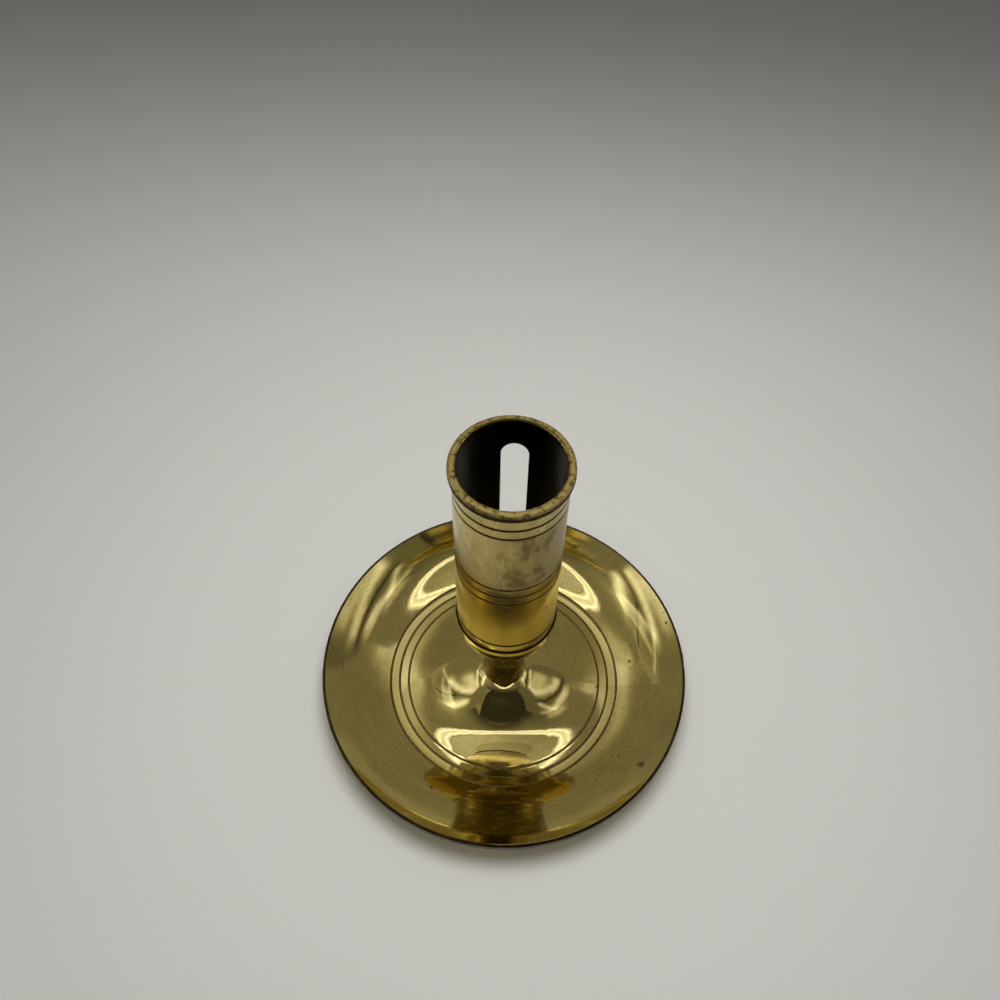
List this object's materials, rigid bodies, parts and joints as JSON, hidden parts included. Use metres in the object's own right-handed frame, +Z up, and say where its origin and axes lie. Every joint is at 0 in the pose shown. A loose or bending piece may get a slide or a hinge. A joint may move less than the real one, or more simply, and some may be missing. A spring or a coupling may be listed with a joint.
{
  "type": "candlestick",
  "caption": "Turned brass candlestick with a round saucer base, a short slim stem and a tubular candle socket with a back slot, where a thumb knob slides a pusher that lifts the candle.",
  "frame": {"origin": "on the socket's axis, at the level of the table that the base rests on", "axes": "+Z up along the socket's axis and out of its mouth, +Y towards the slot and the thumb knob"},
  "size_m": [0.1012, 0.1012, 0.1027],
  "materials": {
    "dish_brass": "polished, lightly tarnished",
    "column_brass": "polished, with dark turned lines and a sooted bore",
    "slide_brass": "hand-worn",
    "fixing_brass": "dull"
  },
  "bodies": {
    "stand": {"base_dish": "dish_brass", "base_washer": "fixing_brass", "base_screw": "fixing_brass", "stem": "column_brass", "socket_foot": "column_brass", "socket_tube": "column_brass"},
    "ejector": {"pusher": "slide_brass", "pusher_stud": "slide_brass", "slide_washer": "slide_brass", "thumb_knob": "slide_brass"}
  },
  "joints": [
    {"name": "ejector_slide", "type": "slide", "parent": "stand", "child": "ejector", "axis": [0, 0, 1], "range_m": [0, 0.04]}
  ]
}
